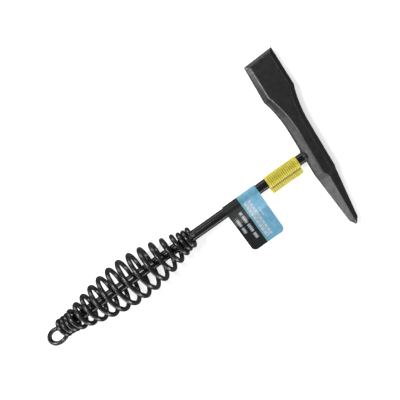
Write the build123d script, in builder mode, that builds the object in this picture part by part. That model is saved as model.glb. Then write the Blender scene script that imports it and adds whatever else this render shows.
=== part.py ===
from build123d import *
import math
import os

# Chipping hammer with a sprung wire grip. Millimetres and degrees.
# Origin: centre of the head's flat underside, straight below the eye.
# +X runs from the grip to the head, +Y along the head to the chisel, +Z up.

# Head: an octagonal bar with a chisel at +Y and a four-sided pick at -Y
bar_across_flats = 19.4
head_lean = 4.8  # the chisel end leans away from the grip
chisel_reach = 100.3  # eye to cutting edge
pick_reach = 78.5  # eye to the pick's point
chisel_width = 31.2
flare_start = 22.0  # the bar begins to widen and flatten
flare_end = 61.5  # the blade reaches its full width
flare_power = 2.2
blade_thickness = 12.6  # where the flare ends
bevel_thickness = 5.4  # where the edge bevel starts
edge_thickness = 1.6
bevel_length = 4.2
edge_skew = 6.0  # the edge is ground off square, nearly parallel to the shank
blade_cut_width = 4.7  # corner cut along the blade, across its width
blade_cut_depth = 2.8  # and down its thickness
bevel_cut_width = 4.7
bevel_cut_depth = 1.9
pick_start = 21.0  # the octagon runs out
pick_shoulder = 27.5  # the four-sided pyramid begins
pick_shoulder_width = 18.8
pick_end_width = 8.6
pick_point_length = 5.4
pick_point_width = 1.6
ridge_flat = 0.5  # width left along the pick's ridges

# Shank: a plain rod
shank_diameter = 10.0
shank_end_chamfer = 0.8
socket_depth = 12.0
socket_clearance = 0.05  # radial
socket_floor_gap = 0.5
head_weld_leg = 1.8

# Grip: one wire, close-wound at both ends and barrel-shaped between them
wire_diameter = 4.5
coil_gap = 0.4  # between close-wound turns
bore_clearance = 0.85  # radial, shank to close-wound coils
barrel_diameter = 47.0  # outside, at the fullest turn
barrel_length = 127.8
barrel_turns = 11.42
rear_turns = 2.99
front_turns = 2.79
swell_lead = 1.6  # the barrel starts to swell this many turns before its pitch opens
radius_power = 1.8  # how full the barrel's outline is
radius_skew = 0.15  # how much fuller it is towards the head
pitch_power = 0.273  # how evenly its pitch opens
grip_front = -135.5  # front of the foremost turn, along X
shank_tail_gap = 10.0  # the rod ends this far short of the rearmost turn
loop_width = 13.6  # hanging loop across the shank's line, to the wire's centre
loop_length = 17.2  # and along it
loop_offset = 3.2  # its centre lies this far below the rod's axis in plan
loop_reach = 9.2  # from the rearmost turn back to the loop's centre

# Weld beads at the grip's front: length along X, width round the rod, height
grip_bead_length = 5.4
grip_bead_width = 4.6
grip_bead_height = 3.6
grip_bead_angles = (74.0, 82.0)
grip_bead_steps = (1.0, 6.0)  # back from the front of the grip

# Warning label: a wrap with a short free flap
label_front = -17.5
label_length = 34.4
label_wall = 0.9
label_fit = 0.05
flap_length = 9.1
flap_thickness = 0.6
flap_drop = 35.0  # below level

# Swing card: folded over the shank and glued below it
card_front = -62.7
card_width = 36.6
card_length = 49.7  # from the shank's axis to the free edge
card_stock = 0.45
card_clearance = 0.4  # radial, on the shank
card_fold_reach = 17.0  # where the two leaves meet
card_drop = 17.0  # below level, until its edge lies on the table
card_corner = 5.0

# Worked out from the sizes above
bar_half = bar_across_flats / 2
bar_cut = bar_half * (2 - math.sqrt(2))
shank_radius = shank_diameter / 2
wire_radius = wire_diameter / 2
axis_height = bar_half
tight_pitch = wire_diameter + coil_gap
tight_radius = shank_radius + bore_clearance + wire_radius
barrel_radius = barrel_diameter / 2 - wire_radius
total_turns = rear_turns + barrel_turns + front_turns
rear_turn_x = grip_front - wire_radius - tight_pitch * (rear_turns + front_turns) - barrel_length
lean = math.radians(head_lean)
side_face_x = -bar_half / math.cos(lean)
socket_floor_x = side_face_x + socket_depth
shank_front_x = socket_floor_x - socket_floor_gap
shank_rear_x = rear_turn_x + shank_tail_gap


def head_plane(distance, skew=0.0):
    """A plane across the head, this far from the eye towards the chisel."""
    turn = lean - math.radians(skew)
    return Plane(
        origin=(distance * math.sin(lean), distance * math.cos(lean), axis_height),
        x_dir=(math.cos(turn), -math.sin(turn), 0),
        z_dir=(-math.sin(turn), -math.cos(turn), 0),
    )


def bar_corners(half_width, half_depth, cut_width, cut_depth):
    """The eight corners of a flat bar with cut corners."""
    flat = half_width - cut_width
    side = half_depth - cut_depth
    quarter = [(flat, half_depth), (half_width, side)]
    lower = [(w, -d) for w, d in reversed(quarter)]
    left = [(-w, -d) for w, d in quarter]
    upper = [(-w, d) for w, d in reversed(quarter)]
    return quarter + lower + left + upper


def between(share, first, last):
    """The value this share of the way from first to last."""
    return first + share * (last - first)


def head_stations():
    """Sections from the pick's point to the cutting edge: distance, skew, half sizes, cuts."""
    stations = []
    pick_sections = [
        (pick_reach, pick_point_width),
        (pick_reach - pick_point_length, pick_end_width),
        (pick_shoulder, pick_shoulder_width),
    ]
    for distance, width in pick_sections:
        half = width / 2
        cut = half - ridge_flat / 2
        stations.append((-distance, 0, half, half, cut, cut))
    stations.append((-pick_start, 0, bar_half, bar_half, bar_cut, bar_cut))
    flare_steps = 6
    for step in range(flare_steps + 1):
        share = step / flare_steps
        distance = between(share, flare_start, flare_end)
        half_width = between(share**flare_power, bar_half, chisel_width / 2)
        half_depth = between(share, bar_half, blade_thickness / 2)
        cut_width = between(share, bar_cut, blade_cut_width)
        cut_depth = between(share, bar_cut, blade_cut_depth)
        stations.append((distance, 0, half_width, half_depth, cut_width, cut_depth))
    blade_half = chisel_width / 2
    bevel_start = chisel_reach - bevel_length
    bevel_half = bevel_thickness / 2
    edge_half = edge_thickness / 2
    stations.append((bevel_start, edge_skew, blade_half, bevel_half, bevel_cut_width, bevel_cut_depth))
    stations.append((chisel_reach, edge_skew, blade_half, edge_half, edge_half, edge_half / 2))
    return stations


def barrel_share(turn):
    """How far along the barrel a turn is, 0 to 1, and flat outside it."""
    return min(max((turn - rear_turns) / barrel_turns, 0), 1)


def coil_radius(turn):
    """The wire centre's radius: a skewed sine arch over the barrel, constant at its ends."""
    swollen = (turn - rear_turns + swell_lead) / (barrel_turns + 2 * swell_lead)
    phase = math.pi * min(max(swollen, 0), 1)
    arch = abs(math.sin(phase)) ** radius_power * (1 - radius_skew * math.cos(phase))
    return between(arch, tight_radius, barrel_radius)


def opening(share):
    """How far the pitch is open along the barrel, before scaling."""
    return math.sin(math.pi * min(max(share, 0), 1)) ** pitch_power


# Running sum of the opening along the barrel, for placing each turn along X
table_steps = 400
opening_sum = [0.0]
for table_step in range(table_steps):
    opening_sum.append(opening_sum[-1] + opening((table_step + 0.5) / table_steps))


def coil_x(turn):
    """Where along X the wire's centre is at a turn, counted from the rear."""
    place = barrel_share(turn) * table_steps
    below = min(int(place), table_steps - 1)
    opened = between(place - below, opening_sum[below], opening_sum[below + 1])
    spare = barrel_length - tight_pitch * barrel_turns
    return rear_turn_x + tight_pitch * turn + spare * opened / opening_sum[-1]


def coil_point(turn):
    """A point on the coil: right-handed about +X, turn 0 at +Y."""
    angle = 2 * math.pi * turn
    radius = coil_radius(turn)
    return Vector(coil_x(turn), radius * math.cos(angle), axis_height + radius * math.sin(angle))


def coil_points(first, last):
    """Points along the coil, evenly spaced in turns."""
    points_per_turn = 12
    count = math.ceil((last - first) * points_per_turn)
    return [coil_point(between(step / count, first, last)) for step in range(count + 1)]


tail_cut = rear_turns - 0.1  # where the one wire is divided into two nodes
tail_cut_gap = 0.003  # turns left clear between them
tail_start = -0.42  # the close-wound coil ends here and runs into the loop
loop_angles = range(-85, -325, -20)  # round the loop, from below it to its front
loop_centre_x = rear_turn_x - loop_reach


def loop_point(angle_degrees):
    """A point on the hanging loop, level with the rod's axis; 0 is towards the head."""
    angle = math.radians(angle_degrees)
    x = loop_centre_x + loop_length / 2 * math.cos(angle)
    y = -loop_offset + loop_width / 2 * math.sin(angle)
    return Vector(x, y, axis_height)


# Head blank, before the socket is bored
with BuildPart() as head_blank:
    for distance, skew, half_width, half_depth, cut_width, cut_depth in head_stations():
        with BuildSketch(head_plane(distance, skew)):
            Polygon(*bar_corners(half_width, half_depth, cut_width, cut_depth), align=None)
    loft(ruled=True)

with BuildPart() as head:
    add(head_blank.part)
    socket_plane = Plane(origin=(socket_floor_x, 0, axis_height), x_dir=(0, 1, 0), z_dir=(-1, 0, 0))
    with BuildSketch(socket_plane):
        Circle(shank_radius + socket_clearance)
    extrude(amount=socket_depth + bar_half, mode=Mode.SUBTRACT)
head.part.label = "head"
export_step(head.part, "parts/head.step")

# Shank
with BuildPart() as shank:
    rear_plane = Plane(origin=(shank_rear_x, 0, axis_height), x_dir=(0, 1, 0), z_dir=(1, 0, 0))
    with BuildSketch(rear_plane):
        Circle(shank_radius)
    extrude(amount=shank_front_x - shank_rear_x)
    chamfer(shank.edges().filter_by(GeomType.CIRCLE), length=shank_end_chamfer)
shank.part.label = "shank"
export_step(shank.part, "parts/shank.step")

# Weld fillet between shank and head, hollow-faced
with BuildPart() as head_weld:
    with BuildSketch(Plane(origin=(0, 0, axis_height), x_dir=(1, 0, 0), z_dir=(0, -1, 0))):
        with BuildLine():
            bead_back = (side_face_x - head_weld_leg, shank_radius)
            bead_top = (side_face_x, shank_radius + head_weld_leg)
            bead_hollow = (side_face_x - head_weld_leg * 0.4, shank_radius + head_weld_leg * 0.4)
            buried_top = (side_face_x + head_weld_leg, shank_radius + head_weld_leg)
            buried_foot = (side_face_x + head_weld_leg, shank_radius)
            ThreePointArc(bead_back, bead_hollow, bead_top)
            Polyline(bead_top, buried_top, buried_foot, bead_back)
        make_face()
    revolve(axis=Axis((0, 0, axis_height), (1, 0, 0)))
    add(head_blank.part, mode=Mode.SUBTRACT)
head_weld.part.label = "head_weld"
export_step(head_weld.part, "parts/head_weld.step")

# Grip spring: the barrel and the close-wound front turns. The rod's axis guides the section round.
with BuildPart() as grip_spring:
    spring_points = coil_points(tail_cut, total_turns)
    axis_start = Vector(spring_points[0].X, 0, axis_height)
    axis_end = Vector(spring_points[-1].X, 0, axis_height)
    with BuildLine() as spring_path:
        Spline(*spring_points)
    spring_wire = spring_path.edges()[0]
    with BuildSketch(Plane(origin=spring_wire @ 0, z_dir=spring_wire % 0)):
        Circle(wire_radius)
    sweep(path=spring_wire, binormal=Edge.make_line(axis_start, axis_end))
grip_spring.part.label = "grip_spring"
export_step(grip_spring.part, "parts/grip_spring.step")

# Grip tail: the close-wound rear turns and the hanging loop
with BuildPart() as grip_tail:
    rear_turn_points = list(reversed(coil_points(tail_start, tail_cut - tail_cut_gap)))
    loop_points = [loop_point(angle) for angle in loop_angles]
    with BuildLine() as tail_path:
        Spline(*rear_turn_points, *loop_points)
    tail_wire = tail_path.edges()[0]
    with BuildSketch(Plane(origin=tail_wire @ 0, z_dir=tail_wire % 0)):
        Circle(wire_radius)
    sweep(path=tail_wire)
grip_tail.part.label = "grip_tail"
export_step(grip_tail.part, "parts/grip_tail.step")



def grip_bead(angle_degrees, step):
    """A rounded bead standing on the rod at this angle, this far back from the grip's front."""
    angle = math.radians(angle_degrees)
    outward = Vector(0, math.cos(angle), math.sin(angle))
    seat = Vector(grip_front - step, 0, axis_height) + outward * (shank_radius - 0.2)
    with BuildPart(Plane(origin=seat, x_dir=(1, 0, 0), z_dir=outward)) as bead:
        standing = (Align.CENTER, Align.CENTER, Align.MIN)
        Box(grip_bead_length, grip_bead_width, grip_bead_height, align=standing)
        fillet(bead.edges(), radius=grip_bead_height * 0.45)
    return bead.part


# Grip welds: beads between the front turns and the shank, on the upper side
beads = [grip_bead(angle, step) for angle, step in zip(grip_bead_angles, grip_bead_steps)]
with BuildPart() as grip_welds:
    for bead_part in beads:
        add(bead_part)
    add(shank.part, mode=Mode.SUBTRACT)
grip_welds.part.label = "grip_welds"
export_step(grip_welds.part, "parts/grip_welds.step")

# Warning label: a wrap round the shank with a free flap
with BuildPart() as warning_label:
    label_plane = Plane(
        origin=(label_front, 0, axis_height),
        x_dir=(0, -math.cos(math.radians(flap_drop)), -math.sin(math.radians(flap_drop))),
        z_dir=(-1, 0, 0),
    )
    with BuildSketch(label_plane):
        label_radius = shank_radius + label_fit + label_wall
        Circle(label_radius)
        with Locations((label_radius + flap_length / 2 - label_wall / 2, 0)):
            Rectangle(flap_length + label_wall, flap_thickness)
        Circle(shank_radius + label_fit, mode=Mode.SUBTRACT)
    extrude(amount=label_length)
warning_label.part.label = "warning_label"
export_step(warning_label.part, "parts/warning_label.step")

# Swing card: one sheet folded over the shank, its leaves glued together below
with BuildPart() as swing_card:
    card_tilt = math.radians(card_drop)
    card_plane = Plane(
        origin=(card_front - card_width, 0, axis_height),
        x_dir=(0, -math.cos(card_tilt), -math.sin(card_tilt)),
        z_dir=(1, 0, 0),
    )
    bore = shank_radius + card_clearance
    outside = bore + card_stock
    leaf_angle = math.asin(bore / card_fold_reach)
    tangent_x = math.sin(leaf_angle)
    tangent_y = math.cos(leaf_angle)
    glue_start = (outside - card_stock * tangent_y) / tangent_x
    with BuildSketch(card_plane):
        with BuildLine():
            upper = (outside * tangent_x, outside * tangent_y)
            lower = (outside * tangent_x, -outside * tangent_y)
            ThreePointArc(upper, (-outside, 0), lower)
            Polyline(
                lower,
                (glue_start, -card_stock),
                (card_length, -card_stock),
                (card_length, card_stock),
                (glue_start, card_stock),
                upper,
            )
        make_face()
        with BuildLine():
            upper_bore = (bore * tangent_x, bore * tangent_y)
            lower_bore = (bore * tangent_x, -bore * tangent_y)
            ThreePointArc(upper_bore, (-bore, 0), lower_bore)
            Polyline(lower_bore, (card_fold_reach, 0), upper_bore)
        make_face(mode=Mode.SUBTRACT)
    extrude(amount=card_width)
    thickness_edges = swing_card.edges().filter_by(lambda edge: abs(edge.length - 2 * card_stock) < 0.01)
    fillet(thickness_edges, radius=card_corner)
swing_card.part.label = "swing_card"
export_step(swing_card.part, "parts/swing_card.step")
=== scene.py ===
"""Looks for the chipping hammer: forged head, rod shank, sprung wire grip, yellow label and hang card.

Every piece is a surface worked out with numpy in the hammer's own frame, in metres: +X runs from the
grip to the head, +Y along the head to the chisel, +Z up, and the origin is under the head's eye.
"""

import logging
from dataclasses import dataclass, field
from enum import Enum

import bpy
import numpy as np
from mathutils import Matrix, Vector


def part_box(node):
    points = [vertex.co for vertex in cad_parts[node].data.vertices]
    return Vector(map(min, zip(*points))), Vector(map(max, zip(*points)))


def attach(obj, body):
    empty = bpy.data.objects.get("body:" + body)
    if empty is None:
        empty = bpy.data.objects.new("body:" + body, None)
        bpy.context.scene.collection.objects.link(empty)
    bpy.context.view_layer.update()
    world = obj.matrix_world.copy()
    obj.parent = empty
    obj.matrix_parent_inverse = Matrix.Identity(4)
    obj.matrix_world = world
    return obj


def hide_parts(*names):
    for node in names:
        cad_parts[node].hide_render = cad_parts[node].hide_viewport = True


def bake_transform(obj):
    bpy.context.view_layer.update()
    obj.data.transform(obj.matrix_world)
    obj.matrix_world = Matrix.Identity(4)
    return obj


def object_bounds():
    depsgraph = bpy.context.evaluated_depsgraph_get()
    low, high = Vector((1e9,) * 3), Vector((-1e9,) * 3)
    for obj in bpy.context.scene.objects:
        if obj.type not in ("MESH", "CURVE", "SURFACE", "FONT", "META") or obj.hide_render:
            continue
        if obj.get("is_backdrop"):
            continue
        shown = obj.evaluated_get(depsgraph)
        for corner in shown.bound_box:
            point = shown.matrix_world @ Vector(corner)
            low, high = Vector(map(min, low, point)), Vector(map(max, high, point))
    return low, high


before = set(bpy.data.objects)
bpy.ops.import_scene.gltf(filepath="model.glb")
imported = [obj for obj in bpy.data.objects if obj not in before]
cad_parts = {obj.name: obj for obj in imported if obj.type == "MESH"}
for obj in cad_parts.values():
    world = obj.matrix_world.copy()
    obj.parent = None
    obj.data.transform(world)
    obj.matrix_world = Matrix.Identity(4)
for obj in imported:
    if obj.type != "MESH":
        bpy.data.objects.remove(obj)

MM = 0.001
Array = np.ndarray
Socket = bpy.types.NodeSocket
Colour = tuple[float, float, float, float]
log = logging.getLogger("chipping_hammer")


class Body(Enum):
    """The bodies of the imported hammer."""

    HAMMER = "hammer"
    TAIL = "tail"
    CARD = "card"


class Slot(Enum):
    """The record's material slots."""

    HEAD_PAINT = "head_paint"
    SHANK_PAINT = "shank_paint"
    SPRING_PAINT = "spring_paint"
    WELD_METAL = "weld_metal"
    LABEL_PAPER = "label_paper"
    CARD_STOCK = "card_stock"


# ---------------------------------------------------------------- meshes


def smoothstep(share: Array) -> Array:
    """Ease from 0 to 1: three times the square less twice the cube of the share, clipped to 0 to 1."""
    clipped = np.clip(share, 0, 1)
    return clipped * clipped * (3 - 2 * clipped)


def softened(values: Array, reach: int) -> Array:
    """Round off the corners of a run of values with a raised-cosine window.

    Args:
        values: numbers at even steps.
        reach: half the window's length, in steps.

    Returns:
        The smoothed run, as long as the one given.
    """
    window = np.hanning(2 * reach + 1)
    padded = np.pad(values, reach, mode="edge")
    return np.convolve(padded, window / window.sum(), mode="valid")


def grid_quads(rows: int, columns: int, closed_rows: bool, closed_columns: bool) -> Array:
    """Corner numbers of every cell of a grid of points.

    Args:
        rows: points along the first parameter.
        columns: points along the second.
        closed_rows: the last row joins the first.
        closed_columns: the last column joins the first.

    Returns:
        One row of four corner numbers for each cell.
    """
    down = np.arange(rows if closed_rows else rows - 1)
    across = np.arange(columns if closed_columns else columns - 1)
    i, j = np.meshgrid(down, across, indexing="ij")
    next_i = (i + 1) % rows
    next_j = (j + 1) % columns
    corners = [i * columns + j, next_i * columns + j, next_i * columns + next_j, i * columns + next_j]
    return np.stack([c.ravel() for c in corners], axis=1)


def cap_triangles(ring: Array, centre: int) -> Array:
    """A fan of triangles from a ring of point numbers to one centre point."""
    return np.stack([ring, np.roll(ring, -1), np.full(len(ring), centre)], axis=1)


def signed_volume(points: Array, faces: list[Array]) -> float:
    """Volume inside a closed surface: a sixth of the sum of triple products of its triangles."""
    total = 0.0
    for group in faces:
        for second in range(1, group.shape[1] - 1):
            a, b, c = (points[group[:, k]] for k in (0, second, second + 1))
            total += float(np.einsum("ij,ij->i", a, np.cross(b, c)).sum()) / 6
    return total


def make_piece(
    name: str,
    points: Array,
    faces: list[Array],
    uv: Array | None = None,
    attributes: dict[str, Array] | None = None,
    closed: bool = True,
) -> bpy.types.Object:
    """Put points and faces into a smooth-shaded mesh object at the origin.

    Args:
        name: the object's name.
        points: one row of x, y, z for each point, in metres.
        faces: arrays of corner numbers, one array for each number of corners.
        uv: one row of u, v for each point, or None.
        attributes: named numbers for each point, for the materials.
        closed: the surface has an inside, so its faces are turned outwards.

    Returns:
        The object, linked to the scene.
    """
    if closed and signed_volume(points, faces) < 0:
        faces = [group[:, ::-1] for group in faces]
    mesh = bpy.data.meshes.new(name)
    mesh.from_pydata(points.tolist(), [], [row for group in faces for row in group.tolist()])
    mesh.polygons.foreach_set("use_smooth", np.ones(len(mesh.polygons), bool))
    if uv is not None:
        corner_points = np.zeros(len(mesh.loops), np.int32)
        mesh.loops.foreach_get("vertex_index", corner_points)
        layer = mesh.uv_layers.new(name="print")
        layer.data.foreach_set("uv", uv[corner_points].astype(np.float32).ravel())
    for title, values in (attributes or {}).items():
        attribute = mesh.attributes.new(title, "FLOAT", "POINT")
        attribute.data.foreach_set("value", values.astype(np.float32))
    mesh.update()
    piece = bpy.data.objects.new(name, mesh)
    bpy.context.scene.collection.objects.link(piece)
    return piece


def closed_rings(rows: int, sides: int) -> list[Array]:
    """Faces of a stack of rings closed at both ends, its two end points last among its points."""
    first = np.arange(sides)
    last = (rows - 1) * sides + first
    caps = [cap_triangles(first, rows * sides), cap_triangles(last[::-1], rows * sides + 1)]
    return [grid_quads(rows, sides, False, True), np.concatenate(caps)]


def tube_frames(path: Array) -> tuple[Array, Array, Array]:
    """Directions along and across a curved path, with no twist about it.

    The curve's own normal is its bend direction. The turn of that normal about the path is added up,
    and taken off again, which leaves a frame that slides along the path without spinning.

    Args:
        path: points close together along a curve that bends everywhere.

    Returns:
        The unit tangents, normals and binormals.
    """
    tangent = np.gradient(path, axis=0)
    tangent /= np.linalg.norm(tangent, axis=1, keepdims=True)
    bend = np.gradient(tangent, axis=0)
    bend -= tangent * np.einsum("ij,ij->i", bend, tangent)[:, None]
    bend /= np.maximum(np.linalg.norm(bend, axis=1, keepdims=True), 1e-9)
    crossed = np.cross(bend[:-1], bend[1:])
    sine = np.einsum("ij,ij->i", crossed, tangent[:-1])
    step = np.arctan2(sine, np.einsum("ij,ij->i", bend[:-1], bend[1:]))
    twist = -np.concatenate([[0.0], np.cumsum(step)])[:, None]
    side = np.cross(tangent, bend)
    normal = bend * np.cos(twist) + side * np.sin(twist)
    return tangent, normal, np.cross(tangent, normal)


def tube(path: Array, radius: Array, sides: int) -> tuple[Array, list[Array]]:
    """A round wire: a circle carried along a path, closed by a domed cap at each end.

    Args:
        path: points along the wire's centre.
        radius: the wire's radius at each of them.
        sides: points round the circle.

    Returns:
        The points and the faces.
    """
    _, normal, binormal = tube_frames(path)
    angle = np.linspace(0, 2 * np.pi, sides, endpoint=False)
    ring = normal[:, None] * np.cos(angle)[:, None] + binormal[:, None] * np.sin(angle)[:, None]
    skin = path[:, None] + ring * radius[:, None, None]
    return np.concatenate([skin.reshape(-1, 3), path[[0, -1]]]), closed_rings(len(path), sides)


def resampled(path: Array, spacing: float) -> Array:
    """The same path with its points evenly spaced, by straight interpolation on its length."""
    step = np.linalg.norm(np.diff(path, axis=0), axis=1)
    along = np.concatenate([[0.0], np.cumsum(step)])
    even = np.linspace(0, along[-1], int(along[-1] / spacing))
    return np.stack([np.interp(even, along, path[:, k]) for k in range(3)], axis=1)


def turned_profile(stations: Array, radii: Array, sides: int, height: float) -> tuple[Array, list[Array]]:
    """A shape turned about the shank's axis: a circle of each radius at each station along X.

    Args:
        stations: places along X.
        radii: the radius at each of them.
        sides: points round the circle.
        height: the axis's height above the origin.

    Returns:
        The points and the faces, closed at both ends.
    """
    angle = np.linspace(0, 2 * np.pi, sides, endpoint=False)
    x = np.broadcast_to(stations[:, None], (len(stations), sides))
    y = radii[:, None] * np.cos(angle)
    z = height + radii[:, None] * np.sin(angle)
    skin = np.stack([x, y, z], axis=2).reshape(-1, 3)
    ends = np.array([[stations[0], 0, height], [stations[-1], 0, height]])
    return np.concatenate([skin, ends]), closed_rings(len(stations), sides)


# ---------------------------------------------------------------- materials


class NodeGraph:
    """A material's node tree, with a short call for each kind of node it uses."""

    def __init__(self, name: str) -> None:
        """Start an empty material.

        Args:
            name: the material's name.
        """
        self.material = bpy.data.materials.new(name)
        self.material.use_nodes = True
        self.tree = self.material.node_tree
        self.tree.nodes.clear()
        self.output = self.tree.nodes.new("ShaderNodeOutputMaterial")

    def node(
        self, kind: str, inputs: dict[str | int, object] | None = None, **settings: object
    ) -> bpy.types.Node:
        """Add a node, set its options, and set or link its inputs.

        Args:
            kind: the node's type.
            inputs: a value, or a socket to link from, for each named or numbered input.
            settings: the node's own options.

        Returns:
            The node.
        """
        made = self.tree.nodes.new(kind)
        for key, value in settings.items():
            setattr(made, key, value)
        for key, value in (inputs or {}).items():
            if isinstance(value, bpy.types.NodeSocket):
                self.tree.links.new(value, made.inputs[key])
            else:
                made.inputs[key].default_value = value
        return made

    def object_place(self) -> Socket:
        """Coordinates in the hammer's own frame, in metres."""
        return self.node("ShaderNodeTexCoord").outputs["Object"]

    def stretched(self, place: Socket, scale: tuple[float, float, float]) -> Socket:
        """Coordinates multiplied along each axis."""
        return self.node("ShaderNodeMapping", {"Vector": place, "Scale": scale}).outputs["Vector"]

    def noise(self, place: Socket, scale: float, detail: float = 3.0, rough: float = 0.5) -> Socket:
        """Smooth noise from 0 to 1, with this many waves to the metre."""
        inputs = {"Vector": place, "Scale": scale, "Detail": detail, "Roughness": rough}
        return self.node("ShaderNodeTexNoise", inputs).outputs["Fac"]

    def cells(self, place: Socket, scale: float) -> Socket:
        """Distance to the nearest of a scatter of points."""
        return self.node("ShaderNodeTexVoronoi", {"Vector": place, "Scale": scale}).outputs["Distance"]

    def math(self, operation: str, first: object, second: object = 0.0, clamp: bool = False) -> Socket:
        """One step of arithmetic on two numbers or sockets."""
        inputs = {0: first, 1: second}
        return self.node("ShaderNodeMath", inputs, operation=operation, use_clamp=clamp).outputs[0]

    def remap(self, value: Socket, low: float, high: float, to_low: float, to_high: float) -> Socket:
        """A number moved from one range to another, and held inside it."""
        inputs = {"Value": value, "From Min": low, "From Max": high, "To Min": to_low, "To Max": to_high}
        return self.node("ShaderNodeMapRange", inputs).outputs["Result"]

    def mix(self, share: Socket, first: object, second: object) -> Socket:
        """A colour between two others."""
        made = self.node("ShaderNodeMix", data_type="RGBA")
        for socket, value in ((made.inputs[0], share), (made.inputs[6], first), (made.inputs[7], second)):
            if isinstance(value, bpy.types.NodeSocket):
                self.tree.links.new(value, socket)
            else:
                socket.default_value = value
        return made.outputs[2]

    def attribute(self, name: str) -> Socket:
        """A number that the piece's mesh holds for each point."""
        return self.node("ShaderNodeAttribute", attribute_name=name).outputs["Fac"]

    def bump(
        self, height: Socket, distance: float, strength: float = 1.0, below: Socket | None = None
    ) -> Socket:
        """A normal tilted by a height, on top of another bump if one is given."""
        inputs: dict[str | int, object] = {"Height": height, "Distance": distance, "Strength": strength}
        if below is not None:
            inputs["Normal"] = below
        return self.node("ShaderNodeBump", inputs).outputs["Normal"]

    def surface(self, **sockets: object) -> bpy.types.Material:
        """Finish with a Principled shader.

        Args:
            sockets: its inputs, with underscores for the spaces in their names.

        Returns:
            The finished material.
        """
        inputs = {key.replace("_", " "): value for key, value in sockets.items()}
        shader = self.node("ShaderNodeBsdfPrincipled", inputs)
        self.tree.links.new(shader.outputs["BSDF"], self.output.inputs["Surface"])
        return self.material


def grey(level: float, tint: tuple[float, float, float] = (1.0, 1.0, 1.0)) -> Colour:
    """A linear grey of this level, tinted, with full cover."""
    return (level * tint[0], level * tint[1], level * tint[2], 1.0)


@dataclass(frozen=True)
class BlackPaint:
    """Black enamel over steel: soft mottling, orange peel, dust, and thin paint along the edges."""

    name: str
    level: float
    roughness: float
    wear: float
    peel: float
    specular: float = 0.5
    tint: tuple[float, float, float] = (0.97, 1.0, 1.0)
    worn_level: float = 0.16

    def material(self) -> bpy.types.Material:
        """Build the paint.

        Returns:
            A material that reads Object coordinates and the mesh's own edge attribute.
        """
        graph = NodeGraph(self.name)
        place = graph.object_place()
        broad = graph.noise(place, 60.0, 4.0, 0.6)
        fine = graph.noise(place, 900.0, 3.0, 0.6)
        peel = graph.noise(place, 1500.0, 2.0, 0.5)
        lumps = graph.noise(place, 260.0, 3.0, 0.55)
        dark = grey(self.level * 0.75, self.tint)
        light = grey(self.level * 1.35, self.tint)
        body = graph.mix(graph.remap(broad, 0.3, 0.7, 0.0, 1.0), dark, light)
        speck = graph.remap(graph.cells(place, 700.0), 0.06, 0.16, 1.0, 0.0)
        dust = graph.math("MULTIPLY", speck, graph.remap(broad, 0.5, 0.62, 0.0, 0.35))
        dusted = graph.mix(dust, body, grey(self.level * 4))
        ragged = graph.math("ADD", graph.attribute("edge"), graph.remap(fine, 0.3, 0.7, -0.55, 0.25))
        worn = graph.math("MULTIPLY", graph.remap(ragged, 0.55, 1.05, 0.0, 1.0), self.wear)
        colour = graph.mix(worn, dusted, grey(self.worn_level))
        patchy = graph.remap(lumps, 0.3, 0.7, self.roughness * 0.85, self.roughness * 1.2)
        rough = graph.math("ADD", patchy, graph.math("MULTIPLY", dust, 0.4), clamp=True)
        ripple = graph.bump(lumps, 0.25 * MM, 0.10 * self.peel)
        normal = graph.bump(peel, 0.05 * MM, 0.30 * self.peel, below=ripple)
        return graph.surface(
            Base_Color=colour,
            Roughness=rough,
            Normal=normal,
            Specular_IOR_Level=self.specular,
        )


@dataclass(frozen=True)
class WeldMetal:
    """A weld bead: grey, scaly metal with heat tint, dulled by overspray and slag."""

    name: str = "weld_metal"
    level: float = 0.12
    painted: float = 0.25

    def material(self) -> bpy.types.Material:
        """Build the bead's finish.

        Returns:
            A material that reads Object coordinates.
        """
        graph = NodeGraph(self.name)
        place = graph.object_place()
        scale = graph.noise(place, 800.0, 5.0, 0.65)
        patch = graph.noise(place, 330.0, 2.0, 0.5)
        share = graph.remap(scale, 0.3, 0.7, 0.0, 1.0)
        metal = graph.mix(share, grey(self.level * 0.55), grey(self.level * 1.6))
        tinted = graph.mix(graph.remap(patch, 0.55, 0.75, 0.0, 0.4), metal, (0.16, 0.11, 0.07, 1.0))
        cover = graph.remap(patch, 0.35, 0.5, self.painted, 0.0)
        colour = graph.mix(cover, tinted, grey(0.02))
        return graph.surface(
            Base_Color=colour,
            Roughness=graph.remap(scale, 0.3, 0.7, 0.32, 0.62),
            Normal=graph.bump(scale, 0.12 * MM, 0.7),
            Metallic=0.55,
        )


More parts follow.
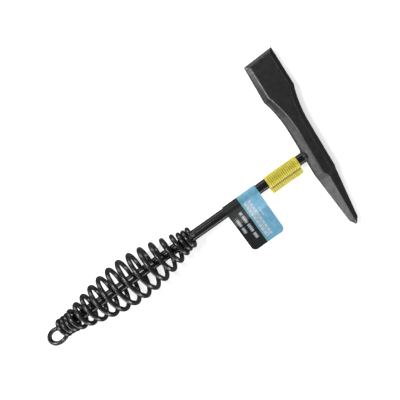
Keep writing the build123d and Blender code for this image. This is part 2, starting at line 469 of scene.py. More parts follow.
@dataclass(frozen=True)
class PrintedSheet:
    """Shared steps for print laid out in millimetres on a piece's own UV map."""

    name: str
    uv_span: float = 100.0  # the UV map's unit, in millimetres

    def millimetres(self, graph: NodeGraph) -> tuple[Socket, Socket]:
        """Distances across and along the sheet, in millimetres.

        Args:
            graph: the material being built.

        Returns:
            The distance across, and the distance along.
        """
        uv = graph.node("ShaderNodeUVMap", uv_map="print").outputs["UV"]
        split = graph.node("ShaderNodeSeparateXYZ", {"Vector": uv})
        across = graph.math("MULTIPLY", split.outputs["X"], self.uv_span)
        along = graph.math("MULTIPLY", split.outputs["Y"], self.uv_span)
        return across, along

    @staticmethod
    def inside(graph: NodeGraph, value: Socket, low: float, high: float, soft: float = 0.12) -> Socket:
        """One between two limits and nothing outside them, with a soft edge as ink has."""
        rise = graph.remap(value, low - soft, low + soft, 0.0, 1.0)
        fall = graph.remap(value, high - soft, high + soft, 1.0, 0.0)
        return graph.math("MULTIPLY", rise, fall)

    def box(self, graph: NodeGraph, place: tuple[Socket, Socket], low: tuple, high: tuple) -> Socket:
        """One inside a rectangle of the print and nothing outside it."""
        across = self.inside(graph, place[0], low[0], high[0])
        along = self.inside(graph, place[1], low[1], high[1])
        return graph.math("MULTIPLY", across, along)

    @staticmethod
    def union(graph: NodeGraph, masks: list[Socket]) -> Socket:
        """The greatest of several masks."""
        joined = masks[0]
        for mask in masks[1:]:
            joined = graph.math("MAXIMUM", joined, mask)
        return joined


@dataclass(frozen=True)
class CardPrint(PrintedSheet):
    """Hang card: black and blue panels, a teal rule, a strip of white blocks and rows of white marks."""

    name: str = "card_print"
    split: float = 16.2  # the black panel's width
    block_pitch: float = 4.7
    blue: Colour = (0.12, 0.40, 0.63, 1.0)
    pale_blue: Colour = (0.24, 0.52, 0.70, 1.0)
    teal: Colour = (0.14, 0.42, 0.47, 1.0)
    ink: Colour = (0.008, 0.009, 0.009, 1.0)
    white: Colour = (0.62, 0.67, 0.73, 1.0)

    def big_blocks(self, graph: NodeGraph, place: tuple[Socket, Socket]) -> Socket:
        """A strip of slanted white blocks down the blue panel, each with a notch across its middle.

        A saw-tooth of the distance along, leaned by the distance across, makes the blocks. A second
        saw-tooth twice as fine cuts the notches out of the strip's middle third.
        """
        across, along = place
        left = self.split + 1.9
        leaned = graph.math("ADD", along, graph.math("MULTIPLY", across, 0.22))
        tooth = graph.math("FRACT", graph.math("DIVIDE", leaned, self.block_pitch))
        blocks = self.inside(graph, tooth, 0.06, 0.86, 0.04)
        notch = self.inside(graph, tooth, 0.30, 0.60, 0.05)
        centre = self.inside(graph, across, left + 2.6, left + 4.9)
        cut = graph.math("SUBTRACT", 1.0, graph.math("MULTIPLY", notch, centre))
        strip = self.box(graph, place, (left, 0.6), (left + 7.2, 44.2))
        return graph.math("MULTIPLY", graph.math("MULTIPLY", blocks, cut), strip)

    def small_marks(
        self, graph: NodeGraph, place: tuple[Socket, Socket], low: tuple, high: tuple, pitch: float
    ) -> Socket:
        """A line of uneven white marks, as a line of words looks from too far off to read.

        Two saw-tooth stripes of unlike pitch, one for uprights and one for gaps, are multiplied
        together inside the line's rectangle, and a bar joins them along its middle.
        """
        across, along = place
        tooth = graph.math("FRACT", graph.math("DIVIDE", along, pitch))
        uprights = self.inside(graph, tooth, 0.15, 0.72, 0.1)
        middle = (low[0] + high[0]) / 2
        bar = self.inside(graph, across, middle - 0.5, middle + 0.5)
        word = graph.math("FRACT", graph.math("DIVIDE", along, pitch * 6.3))
        gaps = self.inside(graph, word, 0.03, 0.88, 0.03)
        marks = graph.math("MULTIPLY", self.union(graph, [uprights, bar]), gaps)
        return graph.math("MULTIPLY", marks, self.box(graph, place, low, high))

    def material(self) -> bpy.types.Material:
        """Build the card's print and varnish.

        Returns:
            A material that reads the card's print map.
        """
        graph = NodeGraph(self.name)
        place = self.millimetres(graph)
        across, along = place
        grain_place = graph.object_place()
        mottle = graph.noise(grain_place, 240.0, 4.0, 0.6)
        fibre = graph.noise(graph.stretched(grain_place, (1.0, 0.35, 0.35)), 2600.0, 3.0, 0.6)
        blue = graph.mix(graph.remap(mottle, 0.3, 0.7, 0.0, 1.0), self.blue, self.pale_blue)
        on_blue = graph.remap(across, self.split - 0.12, self.split + 0.12, 0.0, 1.0)
        ground = graph.mix(on_blue, self.ink, blue)
        rule = self.inside(graph, across, self.split + 0.3, self.split + 2.5, 0.35)
        ruled = graph.mix(rule, ground, self.teal)
        marks = [
            self.big_blocks(graph, place),
            self.small_marks(graph, place, (9.2, 6.0), (12.6, 39.5), 1.75),
            self.small_marks(graph, place, (2.7, 9.4), (5.9, 29.0), 1.75),
            self.small_marks(graph, place, (27.3, 13.8), (29.2, 24.4), 1.3),
        ]
        front = self.inside(graph, along, -20.0, 60.0)
        printed = graph.math("MULTIPLY", self.union(graph, marks), front)
        speckle = graph.remap(mottle, 0.25, 0.75, 0.72, 0.95)
        colour = graph.mix(graph.math("MULTIPLY", printed, speckle), ruled, self.white)
        backed = graph.mix(graph.remap(along, -30.0, -29.5, 1.0, 0.0), colour, (0.62, 0.63, 0.62, 1.0))
        return graph.surface(
            Base_Color=backed,
            Roughness=graph.remap(mottle, 0.3, 0.7, 0.38, 0.5),
            Normal=graph.bump(fibre, 0.02 * MM, 0.35),
            Specular_IOR_Level=0.4,
        )


@dataclass(frozen=True)
class LabelPrint(PrintedSheet):
    """Yellow label paper with close rows of small grey marks, as a page of small print looks."""

    name: str = "label_print"
    row_pitch: float = 1.9
    paper: Colour = (0.73, 0.60, 0.018, 1.0)
    pale: Colour = (0.93, 0.83, 0.13, 1.0)
    ink: Colour = (0.10, 0.08, 0.01, 1.0)
    # Painted shade: a dark olive that stands in for the wrap's shadow where the flap leaves it.
    crease_and_shade: Colour = (0.10, 0.075, 0.01, 1.0)

    def material(self) -> bpy.types.Material:
        """Build the label's paper and small print.

        Returns:
            A material that reads the label's print map.
        """
        graph = NodeGraph(self.name)
        across, along = self.millimetres(graph)
        place = graph.object_place()
        mottle = graph.noise(place, 420.0, 4.0, 0.6)
        fibre = graph.noise(place, 3000.0, 3.0, 0.6)
        paper = graph.mix(graph.remap(mottle, 0.3, 0.7, 0.0, 1.0), self.paper, self.pale)
        row = graph.math("DIVIDE", across, self.row_pitch)
        line = self.inside(graph, graph.math("FRACT", row), 0.25, 0.72, 0.10)
        row_number = graph.math("FLOOR", row)
        combined = graph.node("ShaderNodeCombineXYZ", {0: graph.math("MULTIPLY", along, 2.2), 1: row_number})
        words = graph.node("ShaderNodeTexNoise", {"Vector": combined.outputs[0], "Scale": 1.0, "Detail": 2.0})
        broken = graph.remap(words.outputs["Fac"], 0.46, 0.52, 0.0, 1.0)
        margin = self.inside(graph, across, 1.6, 31.0)
        ink = graph.math("MULTIPLY", graph.math("MULTIPLY", line, broken), margin)
        printed = graph.mix(graph.math("MULTIPLY", ink, 0.75), paper, self.ink)
        # Painted shade: the paper darkens towards the dark olive where the flap leaves the wrap, as the
        # mesh's attribute says.
        colour = graph.mix(graph.attribute("crease_and_shade"), printed, self.crease_and_shade)
        return graph.surface(
            Base_Color=colour,
            Roughness=graph.remap(mottle, 0.3, 0.7, 0.45, 0.6),
            Normal=graph.bump(fibre, 0.02 * MM, 0.4),
            Specular_IOR_Level=0.4,
        )


HEAD_PAINT = BlackPaint("head_paint", 0.010, roughness=0.36, wear=0.5, peel=1.0, specular=0.85)
SHANK_PAINT = BlackPaint("shank_paint", 0.008, roughness=0.24, wear=0.0, peel=0.7)
SPRING_PAINT = BlackPaint("spring_paint", 0.008, roughness=0.27, wear=0.15, peel=1.4, specular=0.95)


# ---------------------------------------------------------------- pieces


@dataclass
class Piece:
    """What every piece of the hammer does once its mesh is made."""

    name: str = "piece"
    shank_radius: float = 5.0 * MM
    axis_height: float = 9.7 * MM

    def place(
        self,
        piece: bpy.types.Object,
        material: bpy.types.Material,
        body: Body,
        slot: Slot,
        nodes: tuple[str, ...],
    ) -> bpy.types.Object:
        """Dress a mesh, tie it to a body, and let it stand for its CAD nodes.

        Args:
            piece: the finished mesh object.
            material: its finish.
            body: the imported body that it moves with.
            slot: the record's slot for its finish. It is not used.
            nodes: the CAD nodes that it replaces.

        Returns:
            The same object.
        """
        piece.data.materials.append(material)
        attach(piece, body.value)
        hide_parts(*nodes)
        low, high = np.array(piece.bound_box).min(0), np.array(piece.bound_box).max(0)
        log.info("%s: %d faces, %s mm", piece.name, len(piece.data.polygons), np.round((high - low) / MM, 1))
        return piece


@dataclass
class Head(Piece):
    """The forged head: octagonal bar, flared chisel blade and four-sided pick, leaning off square."""

    name: str = "forged_head"
    lean: float = np.radians(4.8)
    edge_skew: float = np.radians(6.0)
    bar_half: float = 9.7 * MM
    corner_radius: float = 0.9 * MM
    spacing: float = 0.6 * MM
    flare: tuple[float, float] = (22.0 * MM, 61.5 * MM)
    flare_power: float = 2.2
    blade_half: float = 15.6 * MM
    bevel_start: float = 96.1 * MM
    chisel_reach: float = 100.3 * MM
    pick_reach: float = 78.5 * MM

    def outline_sizes(self, distance: Array) -> Array:
        """Half width, half depth and the two corner cuts at each place along the head.

        Between named sections each size runs straight, except the half width over the flare, which
        grows as the flare's share to a power. A short window then rounds off the changes of slope.

        Args:
            distance: places along the head from the eye, towards the chisel.

        Returns:
            Four rows of sizes.
        """
        cut = self.bar_half * (2 - np.sqrt(2))
        places = np.array([-78.5, -73.1, -27.5, -21.0, 22.0, 61.5, 96.1, 100.3]) * MM
        width = np.array([0.8, 4.3, 9.4, 9.7, 9.7, 15.6, 15.6, 15.6]) * MM
        depth = np.array([0.8, 4.3, 9.4, 9.7, 9.7, 6.3, 2.7, 0.8]) * MM
        cut_width = np.array([0.55, 4.05, 9.15, cut / MM, cut / MM, 4.7, 4.7, 0.8]) * MM
        cut_depth = np.array([0.55, 4.05, 9.15, cut / MM, cut / MM, 2.8, 1.9, 0.4]) * MM
        rows = [np.interp(distance, places, sizes) for sizes in (width, depth, cut_width, cut_depth)]
        share = (distance - self.flare[0]) / (self.flare[1] - self.flare[0])
        grown = self.bar_half + np.clip(share, 0, 1) ** self.flare_power * (self.blade_half - self.bar_half)
        rows[0] = np.where((share > 0) & (share < 1), grown, rows[0])
        return np.stack([softened(row, 2) for row in rows])

    def rounded_ring(self, sizes: Array) -> tuple[Array, Array]:
        """Each section's outline, its eight corners rounded.

        A corner becomes a quadratic curve between two points set back along its sides, with one more
        point beyond each end to keep the flats flat.

        Args:
            sizes: the four rows from outline_sizes.

        Returns:
            Points as sections by ring by width and depth, and the edge mask for one ring.
        """
        width, depth, cut_width, cut_depth = sizes
        flat, side = width - cut_width, depth - cut_depth
        quarter = [(flat, depth), (width, side), (width, -side), (flat, -depth)]
        other = [(-w, d) for w, d in reversed(quarter)]
        corners = np.stack([np.stack(c, axis=-1) for c in quarter + other], axis=1)
        before = np.roll(corners, 1, axis=1) - corners
        after = np.roll(corners, -1, axis=1) - corners
        length_before = np.linalg.norm(before, axis=2, keepdims=True)
        length_after = np.linalg.norm(after, axis=2, keepdims=True)
        shortest = np.minimum(length_before, length_after)
        setback = np.minimum(self.corner_radius, 0.3 * shortest)
        hold = np.minimum(0.35 * MM, 0.15 * shortest)
        to_before = before / np.maximum(length_before, 1e-9)
        to_after = after / np.maximum(length_after, 1e-9)
        start = corners + to_before * setback
        end = corners + to_after * setback
        ring = [corners + to_before * (setback + hold), start]
        for share in (1 / 3, 2 / 3):
            ring.append((1 - share) ** 2 * start + 2 * share * (1 - share) * corners + share**2 * end)
        ring += [end, corners + to_after * (setback + hold)]
        points = np.stack(ring, axis=2).reshape(len(width), -1, 2)
        edge = np.tile([0.0, 0.6, 1.0, 1.0, 0.6, 0.0], 8)
        return points, edge

    def build(self) -> bpy.types.Object:
        """Carry the rounded outline along the head, with a slight unevenness left by the grinder.

        The unevenness is three crossed sine waves, a few hundredths of a millimetre high, along the
        outline's own direction from its centre.

        Returns:
            The head.
        """
        count = int((self.chisel_reach + self.pick_reach) / self.spacing) + 1
        distance = np.linspace(-self.pick_reach, self.chisel_reach, count)
        ring, edge = self.rounded_ring(self.outline_sizes(distance))
        around = np.arctan2(ring[..., 1], ring[..., 0])
        along = distance[:, None] / MM
        wave = np.sin(0.31 * along + 2 * around) + 0.7 * np.sin(0.83 * along - 3 * around + 1.3)
        wave += 0.5 * np.sin(1.7 * along + 5 * around + 0.4)
        breadth = np.clip(np.abs(ring).max(2, keepdims=True) / self.bar_half, 0, 1)
        swell = 1 + 0.0035 * wave[..., None] * breadth
        ring = ring * swell
        skew = self.edge_skew * np.clip((distance - self.flare[1]) / (self.bevel_start - self.flare[1]), 0, 1)
        turn = self.lean - skew
        centre = np.stack([distance * np.sin(self.lean), distance * np.cos(self.lean), 0 * distance], axis=1)
        centre[:, 2] += self.axis_height
        across = np.stack([np.cos(turn), -np.sin(turn), 0 * turn], axis=1)
        skin = centre[:, None] + ring[..., :1] * across[:, None] + ring[..., 1:] * np.array([0, 0, 1.0])
        points = np.concatenate([skin.reshape(-1, 3), centre[[0, -1]]])
        middle = (self.chisel_reach - self.pick_reach) / 2
        from_middle = np.abs(distance - middle) - (self.chisel_reach + self.pick_reach) / 2
        at_ends = smoothstep((from_middle + 5 * MM) / (3 * MM))[:, None]
        edges = np.concatenate([np.maximum(edge[None], at_ends).ravel(), [1.0, 1.0]])
        faces = closed_rings(count, ring.shape[1])
        piece = make_piece(self.name, points, faces, attributes={"edge": edges})
        return self.place(piece, HEAD_PAINT.material(), Body.HAMMER, Slot.HEAD_PAINT, ("head",))


@dataclass
class Shank(Piece):
    """The round rod from the head's socket to inside the grip's rear turns."""

    name: str = "rod_shank"
    chamfer: float = 0.8 * MM

    def build(self) -> bpy.types.Object:
        """Turn the rod about its axis, with the faint waviness of drawn bar under dipped paint.

        Returns:
            The shank.
        """
        low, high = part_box("shank")
        ends = np.array([0, 0.3, 1.0]) * self.chamfer
        body = np.linspace(low.x + self.chamfer, high.x - self.chamfer, 260)
        stations = np.concatenate([low.x + ends[:2], body, high.x - ends[:2][::-1]])
        radii = np.full(len(stations), self.shank_radius)
        radii -= np.clip(self.chamfer - (stations - low.x), 0, None)
        radii -= np.clip(self.chamfer - (high.x - stations), 0, None)
        radii += 0.012 * MM * np.sin(stations / MM * 0.21) * (radii > self.shank_radius - 0.01 * MM)
        points, faces = turned_profile(stations, radii, 48, self.axis_height)
        piece = make_piece(self.name, points, faces, attributes={"edge": np.zeros(len(points))})
        return self.place(piece, SHANK_PAINT.material(), Body.HAMMER, Slot.SHANK_PAINT, ("shank",))


@dataclass
class GripWire(Piece):
    """The grip: one wire, close-wound at both ends, barrel-shaped between, with a hanging loop."""

    name: str = "grip_wire"
    wire_radius: float = 2.25 * MM
    tight_pitch: float = 4.9 * MM
    tight_radius: float = 8.2 * MM
    barrel_radius: float = 21.25 * MM
    barrel_length: float = 127.8 * MM
    rear_turns: float = 2.99
    barrel_turns: float = 11.42
    front_turns: float = 2.79
    swell_lead: float = 1.6
    radius_power: float = 1.8
    radius_skew: float = 0.15
    pitch_power: float = 0.273
    front: float = -135.5 * MM
    tail_start: float = -0.42
    loop_half_length: float = 8.6 * MM
    loop_half_width: float = 6.8 * MM
    loop_offset: float = 3.2 * MM
    loop_reach: float = 9.2 * MM
    loop_angles: tuple[float, float] = (-85.0, -305.0)

    def rear_x(self) -> float:
        """Where along X the wire's centre is at turn 0."""
        wound = self.tight_pitch * (self.rear_turns + self.front_turns)
        return self.front - self.wire_radius - wound - self.barrel_length

    def coil(self, turn: Array) -> Array:
        """Points on the coil, right-handed about +X, with turn 0 at +Y.

        The radius rises from the close-wound turns by a sine arch to a power, skewed towards the
        head. The pitch opens by a sine arch to a lower power, added up along the barrel.

        Args:
            turn: turns from the rear.

        Returns:
            One point for each.
        """
        share = np.clip((turn - self.rear_turns) / self.barrel_turns, 0, 1)
        swollen = (turn - self.rear_turns + self.swell_lead) / (self.barrel_turns + 2 * self.swell_lead)
        phase = np.pi * np.clip(swollen, 0, 1)
        arch = np.abs(np.sin(phase)) ** self.radius_power * (1 - self.radius_skew * np.cos(phase))
        radius = self.tight_radius + arch * (self.barrel_radius - self.tight_radius)
        steps = (np.arange(400) + 0.5) / 400
        opened = np.concatenate([[0.0], np.cumsum(np.sin(np.pi * steps) ** self.pitch_power)])
        spare = self.barrel_length - self.tight_pitch * self.barrel_turns
        x = self.rear_x() + self.tight_pitch * turn
        x = x + spare * np.interp(share, np.linspace(0, 1, 401), opened / opened[-1])
        angle = 2 * np.pi * turn
        return np.stack([x, radius * np.cos(angle), self.axis_height + radius * np.sin(angle)], axis=1)

    def loop(self, degrees: Array) -> Array:
        """Points on the hanging loop: an ellipse level with the rod's axis, behind the last turn."""
        angle = np.radians(degrees)
        x = self.rear_x() - self.loop_reach + self.loop_half_length * np.cos(angle)
        y = -self.loop_offset + self.loop_half_width * np.sin(angle)
        return np.stack([x, y, np.full_like(x, self.axis_height)], axis=1)

    def path(self) -> Array:
        """The whole wire from the loop's cut end to the front of the grip.

        The loop and the coil are joined by a cubic curve that leaves each along its own direction.

        Returns:
            Points evenly spaced along the wire.
        """
        degrees = np.linspace(self.loop_angles[1], self.loop_angles[0], 160)
        loop = self.loop(degrees)
        total = self.rear_turns + self.barrel_turns + self.front_turns
        coil = self.coil(np.linspace(self.tail_start, total, 3000))
        leave = loop[-1] - loop[-2]
        arrive = coil[1] - coil[0]
        span = np.linalg.norm(coil[0] - loop[-1])
        leave = leave / np.linalg.norm(leave) * span * 1.25
        arrive = arrive / np.linalg.norm(arrive) * span * 1.25
        t = np.linspace(0, 1, 42)[1:-1, None]
        bend = (2 * t**3 - 3 * t**2 + 1) * loop[-1] + (t**3 - 2 * t**2 + t) * leave
        bend = bend + (3 * t**2 - 2 * t**3) * coil[0] + (t**3 - t**2) * arrive
        return resampled(np.concatenate([loop, bend, coil]), 0.9 * MM)

    def build(self) -> bpy.types.Object:
        """Carry the wire's circle along its path, its cut ends slightly rounded.

        Returns:
            The wire.
        """
        path = self.path()
        count = len(path)
        from_end = np.minimum(np.arange(count), np.arange(count)[::-1]) * 0.9 * MM
        rounding = 0.6 * MM
        inset = np.clip(1 - from_end / rounding, 0, 0.95)
        radius = self.wire_radius - rounding * (1 - np.sqrt(1 - inset**2))
        along = np.arange(count) * 0.9
        radius = radius + 0.012 * MM * np.sin(along * 0.19)
        points, faces = tube(path, radius, 18)
        edge = np.zeros(len(points))
        edge[-2:] = 1.0
        piece = make_piece(self.name, points, faces, attributes={"edge": edge})
        piece.data.materials.append(SPRING_PAINT.material())
        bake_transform(piece)
        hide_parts("grip_spring", "grip_tail")
        log.info("%s: %d faces along %.0f mm of wire", piece.name, len(piece.data.polygons), along[-1])
        return piece


@dataclass
class HeadWeld(Piece):
    """The fillet bead round the shank where it enters the head."""

    name: str = "head_fillet"
    leg: float = 1.6 * MM
    face_x: float = -9.73 * MM

    def build(self) -> bpy.types.Object:
        """Carry a hollow fillet profile round the shank, rippled as a run of weld pools.

        The profile is a quarter circle bowed inwards. Each pool swells it by a sine of the angle.

        Returns:
            The bead.
        """
        angle = np.linspace(0, 2 * np.pi, 120, endpoint=False)
        share = np.linspace(0, 1, 10)
        pool = 1 + 0.10 * np.sin(17 * angle) + 0.07 * np.sin(3 * angle + 1)
        bow = 0.30 * np.sin(np.pi * share)
        back = (1 - share) - bow * 0.7
        out = share - bow * 0.7
        leg = self.leg * pool[:, None]
        x = self.face_x - leg * np.clip(back, 0, 1)
        radius = self.shank_radius - 0.05 * MM + leg * np.clip(out, 0, 1)
        inner_x = np.full((120, 1), self.face_x + self.leg)
        x = np.concatenate([x, inner_x, inner_x], axis=1)
        low = np.full((120, 1), self.shank_radius - 0.05 * MM)
        radius = np.concatenate([radius, low + self.leg * 0.6, low], axis=1)
        y = radius * np.cos(angle)[:, None]
        z = self.axis_height + radius * np.sin(angle)[:, None]
        points = np.stack([x, y, z], axis=2).reshape(-1, 3)
        piece = make_piece(
            self.name,
            points,
            [grid_quads(120, x.shape[1], True, True)],
            attributes={"edge": np.zeros(len(points))},
        )
        return self.place(piece, HEAD_PAINT.material(), Body.HAMMER, Slot.HEAD_PAINT, ("head_weld",))


@dataclass
class GripWelds(Piece):
    """The beads that hold the front turns of the grip to the shank."""

    name: str = "grip_beads"
    places: tuple[tuple[float, float], ...] = ((-136.4, 74.0), (-141.4, 82.0))
    half: tuple[float, float, float] = (2.9 * MM, 2.5 * MM, 4.2 * MM)

    def bead(self, x: float, degrees: float, phase: float) -> tuple[Array, list[Array]]:
        """One bead: a flattened ball with ripples across it and a lumpy outline.

        Args:
            x: its centre along X, in millimetres.
            degrees: its place round the shank.
            phase: shifts its lumps from the other's.

        Returns:
            The points and the faces.
        """
        rows, columns = 26, 34
        polar = np.linspace(0, np.pi, rows)[1:-1, None]
        around = np.linspace(0, 2 * np.pi, columns, endpoint=False)[None]
        swell = 1 + 0.07 * np.sin(3 * around + phase) * np.sin(polar) + 0.05 * np.sin(9 * polar + phase)
        shape = [np.cos(polar), np.sin(polar) * np.cos(around), np.sin(polar) * np.sin(around)]
        ball = np.stack([part * swell for part in shape], axis=2)
        ball = np.concatenate([ball.reshape(-1, 3), [[1.0, 0, 0], [-1.0, 0, 0]]]) * np.array(self.half)
        angle = np.radians(degrees)
        outward = np.array([0, np.cos(angle), np.sin(angle)])
        sideways = np.array([0, -np.sin(angle), np.cos(angle)])
        seat = np.array([x * MM, 0, self.axis_height]) + outward * (self.shank_radius - 0.2 * MM)
        points = seat + ball[:, :1] * np.array([1.0, 0, 0]) + ball[:, 1:2] * sideways + ball[:, 2:] * outward
        return points, closed_rings(rows - 2, columns)

    def build(self) -> bpy.types.Object:
        """Make both beads as one piece of two closed lumps.

        Returns:
            The beads.
        """
        points: list[Array] = []
        quads: list[Array] = []
        triangles: list[Array] = []
        offset = 0
        for number, (x, degrees) in enumerate(self.places):
            lump, (cells, caps) = self.bead(x, degrees, 1.7 * number)
            if signed_volume(lump, [cells, caps]) < 0:
                cells, caps = cells[:, ::-1], caps[:, ::-1]
            points.append(lump)
            quads.append(cells + offset)
            triangles.append(caps + offset)
            offset += len(lump)
        faces = [np.concatenate(quads), np.concatenate(triangles)]
        piece = make_piece(self.name, np.concatenate(points), faces)
        return self.place(piece, WeldMetal().material(), Body.HAMMER, Slot.WELD_METAL, ("grip_welds",))


@dataclass
class SheetPiece(Piece):
    """A paper or card sheet bent in one direction, with its print map and a finished thickness."""

    thickness: float = 0.3 * MM

    def sheet(
        self, points: Array, across: Array, along: Array, crease_and_shade: Array | None = None, uv_unit: float = 100.0
    ) -> bpy.types.Object:
        """Make the sheet from a grid of points and give it its thickness.

        Args:
            points: rows across the sheet by columns along it.
            across: each row's distance across, in metres.
            along: each point's distance along, in metres, on the same grid.
            crease_and_shade: how much painted shade darkens each point along a fold, from 0 to 1, or None for
                a sheet with none.
            uv_unit: the print map's unit, in millimetres.

        Returns:
            The thickened sheet.
        """
        rows, columns = points.shape[:2]
        u = np.broadcast_to(across[:, None], (rows, columns)) / MM / uv_unit
        uv = np.stack([u, along / MM / uv_unit], axis=2).reshape(-1, 2)
        piece = make_piece(
            self.name,
            points.reshape(-1, 3),
            [grid_quads(rows, columns, False, False)],
            uv=uv,
            attributes={"crease_and_shade": np.zeros(rows * columns) if crease_and_shade is None else crease_and_shade.ravel()},
            closed=False,
        )
        solid = piece.modifiers.new("thickness", "SOLIDIFY")
        solid.thickness = self.thickness
        solid.offset = 0.0
        solid.use_even_offset = True
        solid.use_rim = True
        return piece


@dataclass
class WarningLabel(SheetPiece):
    """The yellow label: wrapped round the shank, its two ends stuck together as a short flap."""

    name: str = "yellow_label"
    thickness: float = 0.28 * MM
    length: float = 34.4 * MM
    front: float = -17.5 * MM
    wrap_radius: float = 5.8 * MM
    flap: float = 9.1 * MM
    drop: float = np.radians(35.0)

    def build(self) -> bpy.types.Object:
        """Carry the wrap's outline along the shank, with slight creases and a loose flap.

        The outline runs up one side of the flap, round the shank, and down the flap's other side.

        Returns:
            The label.
        """
        gap = 0.16 * MM
        leave = np.arcsin(gap / self.wrap_radius)
        turn = np.linspace(leave, 2 * np.pi - leave, 90)
        wrap = np.stack([np.cos(turn), np.sin(turn)], axis=1) * self.wrap_radius
        flap_out = np.linspace(self.wrap_radius + self.flap, self.wrap_radius * np.cos(leave) + 0.6 * MM, 14)
        upper = np.stack([flap_out, np.full(14, gap)], axis=1)
        outline = np.concatenate([upper, wrap, upper[::-1] * [1, -1]])
        step = np.linalg.norm(np.diff(outline, axis=0), axis=1)
        along = np.concatenate([[0.0], np.cumsum(step)])
        across = np.linspace(0, self.length, 66)
        reach = np.linalg.norm(outline, axis=1)
        loose = smoothstep((reach - self.wrap_radius) / self.flap)
        share = (across / self.length)[:, None]
        # Slight creases in the paper's shape, as offsets out from the shank.
        crease_and_shade = 0.05 * MM * np.sin(share * 23 + along[None] / MM * 0.9)
        crease_and_shade = crease_and_shade + 0.10 * MM * np.sin(share * 7 + 2.0) * np.cos(np.linspace(0, 9, len(outline)))[None]
        radial = outline / reach[:, None]
        grid = outline[None] + radial[None] * crease_and_shade[..., None]
        droop = (0.9 * MM * np.sin(share * 2.6 + 0.4) - 0.3 * MM) * loose[None]
        grid[..., 1] += droop
        grid[..., 0] -= 0.8 * MM * loose[None] * smoothstep((share - 0.85) / 0.15)
        out = np.array([0, -np.cos(self.drop), -np.sin(self.drop)])
        side = np.array([0, np.sin(self.drop), -np.cos(self.drop)])
        x = self.front - self.length + across
        points = grid[..., :1] * out + grid[..., 1:] * side
        points[..., 0] += x[:, None]
        points[..., 2] += self.axis_height
        distance = np.broadcast_to(along[None], points.shape[:2])
        # Painted shade: a dark band on the flap just past the wrap stands in for the wrap's shadow, and the
        # mesh carries it to the paper's colour.
        fold = np.exp(-(((reach - self.wrap_radius - 2.2 * MM) / (1.1 * MM)) ** 2)) * 0.8
        crease_and_shade = np.broadcast_to(fold[None], points.shape[:2])
        piece = self.sheet(points, across, distance, crease_and_shade)
        return self.place(piece, LabelPrint().material(), Body.HAMMER, Slot.LABEL_PAPER, ("warning_label",))


@dataclass
class SwingCard(SheetPiece):
    """The hang card: one sheet folded over the shank, its two leaves glued together below it."""

    name: str = "hang_card"
    thickness: float = 0.40 * MM
    width: float = 36.6 * MM
    front: float = -62.7 * MM
    length: float = 49.7 * MM
    fold_radius: float = 5.65 * MM
    meet: float = 17.0 * MM
    drop: float = np.radians(17.0)
    corner: float = 5.0 * MM

    def side_line(self) -> Array:
        """The card's section from the fold's top down one leaf to its free edge.

        It is an arc round the shank from the fold's back, then a straight run that leaves the arc
        and closes on the other leaf.

        Returns:
            Points as distance out from the shank and height off the card's middle plane.
        """
        half = 0.24 * MM
        leave = np.arcsin((self.fold_radius - half) / self.meet)
        turn = np.linspace(np.pi, np.pi / 2 - leave, 30)
        arc = np.stack([np.cos(turn), np.sin(turn)], axis=1) * self.fold_radius
        knee = np.linspace(0, 1, 26)[1:, None]
        meeting = np.array([[self.meet + 1.5 * MM, half]])
        slope = arc[-1:] * (1 - knee) + meeting * knee
        slope[:, 1] += 0.35 * MM * np.sin(np.pi * knee[:, 0])
        flat_out = np.linspace(self.meet + 1.5 * MM, self.length, 40)[1:]
        flat = np.stack([flat_out, np.full(39, half)], axis=1)
        return np.concatenate([arc, slope, flat])

    def build(self) -> bpy.types.Object:
        """Lay the section out across the card's width, with its two lower corners rounded.

        At a lower corner the run along each leaf stops short by the circle's own drop, so the grid's
        edge follows the rounded outline. The whole card has a very slight bow.

        Returns:
            The card.
        """
        leaf = self.side_line()
        line = np.concatenate([leaf[::-1], leaf[1:] * [1, -1]])
        step = np.linalg.norm(np.diff(line, axis=0), axis=1)
        along = np.concatenate([[0.0], np.cumsum(step)])
        half_length = along[-1] / 2
        along = along - half_length
        near_side = self.corner * (1 - np.cos(np.linspace(0, np.pi / 2, 14)))
        across = np.concatenate([near_side, np.linspace(self.corner, self.width - self.corner, 34)[1:-1]])
        across = np.concatenate([across, self.width - near_side[::-1]])
        inset = np.clip(self.corner - np.minimum(across, self.width - across), 0, self.corner)
        short = self.corner - np.sqrt(np.clip(self.corner**2 - inset**2, 0, None))
        share = np.linspace(-1, 1, 2 * 90 + 1)
        distance = share[None] * (half_length - short)[:, None]
        out = np.interp(distance, along, line[:, 0])
        off = np.interp(distance, along, line[:, 1])
        bow = 0.5 * MM * np.sin(np.pi * across / self.width)[:, None] * np.clip(out / self.length, 0, 1)
        off = off - bow
        outward = np.array([0, -np.cos(self.drop), -np.sin(self.drop)])
        upward = np.array([0, -np.sin(self.drop), np.cos(self.drop)])
        points = out[..., None] * outward + off[..., None] * upward
        points[..., 0] += (self.front - self.width + across)[:, None]
        points[..., 2] += self.axis_height
        to_edge = half_length - np.abs(distance)
        print_along = np.where(distance <= 0, self.length - to_edge, -50 * MM)
        piece = self.sheet(points, across, print_along)
        return self.place(piece, CardPrint().material(), Body.CARD, Slot.CARD_STOCK, ("swing_card",))


# ---------------------------------------------------------------- studio


@dataclass
class AreaLamp:
    """One soft box: where it stands, what it faces, its size and its power."""

    name: str
    place: tuple[float, float, float]
    aim: tuple[float, float, float]
    size: tuple[float, float]
    radiance: float
    across: tuple[float, float, float] = (1.0, 0.0, 0.0)  # the direction of its width
    colour: tuple[float, float, float] = (1.0, 1.0, 1.0)

    def build(self) -> bpy.types.Object:
        """Set the lamp up.

        Returns:
            The lamp's object.
        """
        lamp = bpy.data.lights.new(self.name, "AREA")
        lamp.shape = "RECTANGLE"
        lamp.size, lamp.size_y = self.size
        lamp.energy = self.radiance * np.pi * self.size[0] * self.size[1]
        lamp.color = self.colour
        holder = bpy.data.objects.new(self.name, lamp)
        bpy.context.scene.collection.objects.link(holder)
        back = (Vector(self.place) - Vector(self.aim)).normalized()
        wide = Vector(self.across) - back * back.dot(Vector(self.across))
        wide.normalize()
        turn = Matrix([wide, back.cross(wide), back]).transposed()
        holder.matrix_world = Matrix.Translation(self.place) @ turn.to_4x4()
        return holder


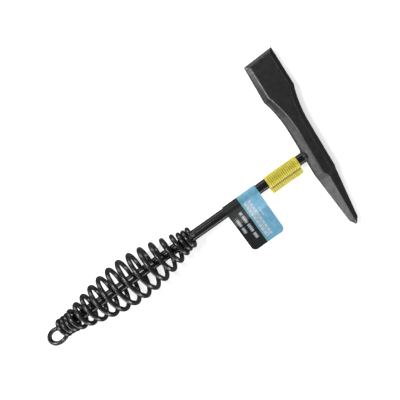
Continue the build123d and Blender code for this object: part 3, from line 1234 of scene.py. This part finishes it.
@dataclass
class Studio:
    """Pale floor, even light and the camera."""

    camera_place: tuple[float, float, float] = (-77.95 * MM, 18.8 * MM, 440.2 * MM)
    camera_turn: tuple[float, float, float] = (2.086, -4.059, 0.52)
    handle_slope: float = 35.1
    sensor_width: float = 36.0
    lens: float = 41.1165
    lamps: list[AreaLamp] = field(
        default_factory=lambda: [
            AreaLamp("top_box", (-0.45, 0.46, 0.95), (-0.20, 0.0, 0.0), (0.30, 0.26), 8.0),
            AreaLamp("key_box", (-0.50, 0.33, 0.95), (-0.2, 0.0, 0.0), (0.14, 0.36), 22.0),
            AreaLamp("low_box", (-1.15, -0.35, 0.20), (0.0, 0.0, 0.0), (1.5, 0.30), 4.8, (0.0, 1.0, 0.0)),
            AreaLamp("front_box", (-0.15, -1.0, 0.12), (-0.15, 0.0, 0.0), (1.4, 0.20), 8.0),
            AreaLamp("back_box", (-0.15, 1.0, 0.20), (-0.15, 0.0, 0.0), (1.4, 0.26), 4.0),
        ]
    )

    def resting_plane(self) -> tuple[float, float]:
        """Height and slope along X of the plane that the grip and the head both rest on.

        For a slope, each node's own plane is as high as its lowest point allows. The slope at which
        the two heights agree is found by halving.

        Returns:
            The plane's height at X 0, and its rise for each metre along X.
        """
        meshes = [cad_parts[name].data for name in ("grip_spring", "head")]
        clouds = [np.array([v.co[:] for v in mesh.vertices]) for mesh in meshes]
        low, high = 0.0, 0.2
        for _ in range(40):
            slope = (low + high) / 2
            grip, head = (float((c[:, 2] - slope * c[:, 0]).min()) for c in clouds)
            low, high = (slope, high) if grip < head else (low, slope)
        return min(grip, head), slope

    def floor(self) -> bpy.types.Object:
        """A plain pale floor, tilted as the hammer lies on it.

        Returns:
            The floor.
        """
        height, slope = self.resting_plane()
        degrees = np.degrees(np.arctan(slope))
        log.info("resting plane: %.2f mm at the head, slope %.2f degrees", height / MM, degrees)
        reach = 6.0
        corners = np.array([[-reach, -reach], [reach, -reach], [reach, reach], [-reach, reach]])
        drop = 0.03 * MM
        points = np.column_stack([corners, height + slope * corners[:, 0] - drop])
        plane = make_piece("floor", points, [np.array([[0, 1, 2, 3]])], closed=False)
        graph = NodeGraph("floor_paper")
        grain = graph.noise(graph.object_place(), 3.0, 2.0, 0.5)
        colour = graph.mix(grain, (0.93, 0.93, 0.93, 1.0), (0.95, 0.95, 0.95, 1.0))
        paper = graph.surface(
            Base_Color=colour,
            Roughness=0.9,
            Specular_IOR_Level=0.0,
            Emission_Color=(1, 1, 1, 1),
            Emission_Strength=0.6,
        )
        plane.data.materials.append(paper)
        plane.visible_glossy = False
        plane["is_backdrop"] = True
        return plane

    def camera(self) -> bpy.types.Object:
        """The camera above the shank, its right-hand direction turned down from the handle's slope.

        Returns:
            The camera.
        """
        slope = np.radians(self.handle_slope)
        rows = np.array([[np.cos(slope), -np.sin(slope), 0], [np.sin(slope), np.cos(slope), 0], [0, 0, 1]])
        turn = Vector(np.radians(self.camera_turn))
        rotation = np.array(Matrix.Rotation(turn.length, 3, turn.normalized()))
        axes = (rotation @ rows).T
        camera = bpy.data.cameras.new("camera")
        camera.sensor_width = self.sensor_width
        camera.lens = self.lens
        camera.clip_start = 0.02
        camera.clip_end = 50.0
        holder = bpy.data.objects.new("camera", camera)
        bpy.context.scene.collection.objects.link(holder)
        holder.matrix_world = Matrix.Translation(self.camera_place) @ Matrix(axes.tolist()).to_4x4()
        bpy.context.scene.camera = holder
        return holder

    def build(self) -> None:
        """Set up the floor, the lamps, the even light all round and the camera."""
        self.floor()
        for lamp in self.lamps:
            lamp.build()
        world = bpy.data.worlds.new("even_light")
        world.use_nodes = True
        background = world.node_tree.nodes["Background"]
        background.inputs["Color"].default_value = (1.0, 1.0, 1.0, 1.0)
        background.inputs["Strength"].default_value = 0.15
        bpy.context.scene.world = world
        bpy.context.scene.view_settings.view_transform = "Standard"
        self.camera()


def plain_bounds() -> list[list[float]]:
    """The whole object's box as two plain lists."""
    low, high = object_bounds()
    return [[float(v) for v in low], [float(v) for v in high]]


def main(cad_box: list[list[float]]) -> None:
    """Build the studio and every piece in order.

    Args:
        cad_box: the CAD model's lowest and highest corners. It is not used.
    """
    logging.basicConfig(level=logging.INFO, format="%(name)s %(message)s")
    Studio().build()
    pieces = [Head(), HeadWeld(), Shank(), GripWire(), GripWelds(), WarningLabel(), SwingCard()]
    for piece in pieces:
        piece.build()


if __name__ == "__main__":
    main(plain_bounds())
